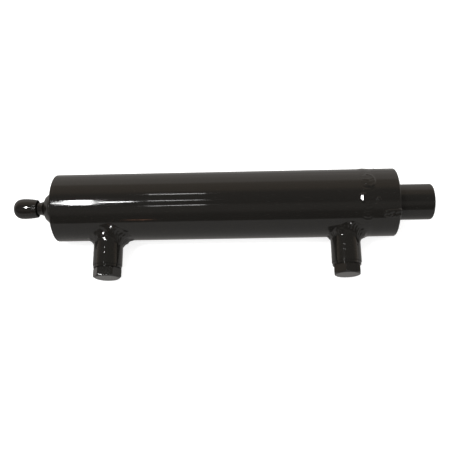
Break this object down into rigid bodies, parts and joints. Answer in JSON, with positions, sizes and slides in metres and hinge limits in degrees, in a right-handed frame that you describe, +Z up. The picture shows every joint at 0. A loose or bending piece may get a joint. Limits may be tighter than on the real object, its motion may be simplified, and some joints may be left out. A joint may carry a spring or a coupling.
{
  "type": "hydraulic cylinder",
  "caption": "Double-acting welded hydraulic cylinder with a tapped rod end, a button stud on the closed end and two plugged side ports; the rod slides and turns.",
  "frame": {"origin": "centre of the bounding box on the surface the cylinder lies on, with the rod retracted", "axes": "+X along the bore towards the rod end, +Z up, and the ports on the -Y side, dipping 16.8 degrees below level"},
  "size_m": [0.375, 0.0962, 0.0621],
  "materials": {
    "enamel": "glossy black enamel, lightly orange-peeled, over steel and weld beads",
    "rod_finish": "black enamel on the stub, hard chrome on the length inside the barrel",
    "bare_steel": "turned, oiled",
    "ductile_iron": "turned",
    "nitrile": "moulded, satin",
    "urethane": "moulded, semi-gloss",
    "nylon": "machined, satin"
  },
  "bodies": {
    "barrel": {"barrel_tube": "enamel", "base_cap": "enamel", "base_cap_weld": "enamel", "base_stud": "enamel", "base_button": "enamel", "port_boss_base": "enamel", "port_boss_rod": "enamel", "port_weld_base": "enamel", "port_weld_rod": "enamel", "port_plug_base": "enamel", "port_plug_rod": "enamel", "port_washer_base": "enamel", "port_washer_rod": "enamel", "head_collar": "enamel", "head_weld": "enamel", "gland_lock_weld": "enamel", "gland": "enamel", "gland_o_ring": "nitrile", "gland_backup_ring": "nylon", "rod_wear_ring": "nylon", "rod_seal": "urethane", "wiper_seal": "nitrile"},
    "piston_rings": {"piston_wear_ring_a": "nylon", "piston_wear_ring_b": "nylon", "piston_seal": "urethane", "piston_seal_energizer": "nitrile"},
    "rod": {"rod": "rod_finish", "piston": "ductile_iron", "piston_nut": "bare_steel", "piston_bore_o_ring": "nitrile"}
  },
  "joints": [
    {"name": "rod_slide", "type": "slide", "parent": "barrel", "child": "piston_rings", "axis": [1, 0, 0], "range_m": [0, 0.1524]},
    {"name": "rod_turn", "type": "hinge", "parent": "piston_rings", "child": "rod", "pos_m": [0, 0.01751, 0.03061], "axis": [1, 0, 0], "continuous": true}
  ]
}
